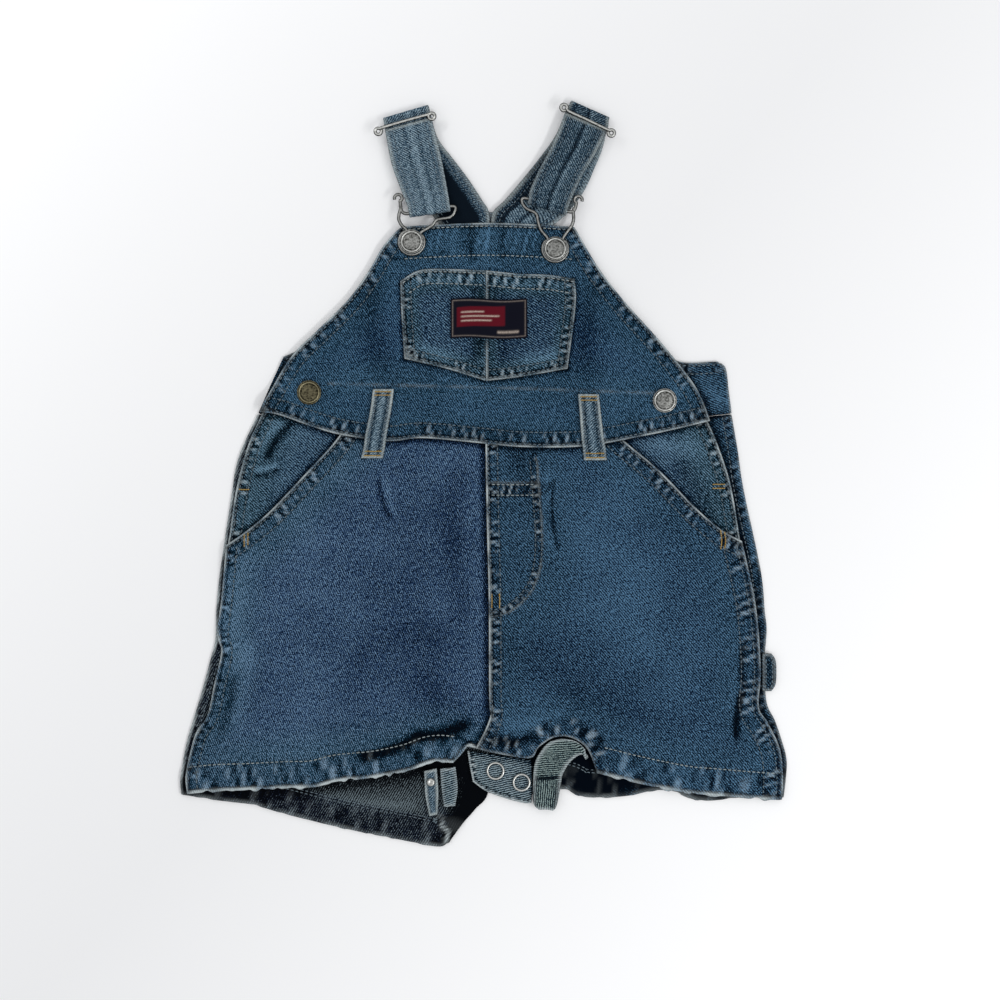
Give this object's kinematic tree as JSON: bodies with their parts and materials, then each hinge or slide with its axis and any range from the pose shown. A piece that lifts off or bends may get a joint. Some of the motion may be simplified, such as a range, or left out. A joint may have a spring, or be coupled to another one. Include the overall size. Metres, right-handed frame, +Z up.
{
  "type": "baby shortalls",
  "caption": "Baby denim shortalls lying flat, front up: bib with pocket, short legs with snap inseam, straps folded round metal sliders and buckles.",
  "frame": {"origin": "middle of the underside, on the surface that the garment lies on", "axes": "+Y towards the straps, +X to the viewer's right as seen from above, +Z up out of the front of the garment"},
  "size_m": [0.3624, 0.4464, 0.01],
  "materials": {
    "washed_denim": "washed indigo denim twill, matte",
    "denim_inside": "unwashed and wrong side of the denim, matte",
    "strap_denim": "paler washed denim, sewn double",
    "woven_label": "woven label, dark red on navy, blank",
    "nickel_plate": "nickel plate, softly worn"
  },
  "bodies": {
    "root": {"front_bib": "washed_denim", "front_leg_left": "washed_denim", "front_leg_right": "washed_denim", "bib_pocket_left": "washed_denim", "bib_pocket_right": "washed_denim", "belt_loop_left": "washed_denim", "belt_loop_right": "washed_denim", "hammer_loop": "washed_denim", "back_leg_left": "denim_inside", "back_leg_right": "denim_inside", "back_yoke": "denim_inside", "pocket_facing_left": "denim_inside", "pocket_facing_right": "denim_inside", "strap_left": "strap_denim", "strap_right": "strap_denim", "snap_placket": "strap_denim", "binding_end": "strap_denim", "placket_tab_inner": "strap_denim", "placket_tab_outer": "strap_denim", "label_blank": "woven_label", "slider_left": "nickel_plate", "slider_right": "nickel_plate", "buckle_left": "nickel_plate", "buckle_right": "nickel_plate", "button_bib_left": "nickel_plate", "button_bib_right": "nickel_plate", "button_side_left": "nickel_plate", "button_side_right": "nickel_plate", "snap_ring_inner": "nickel_plate", "snap_ring_outer": "nickel_plate", "snap_stud": "nickel_plate"}
  },
  "joints": []
}
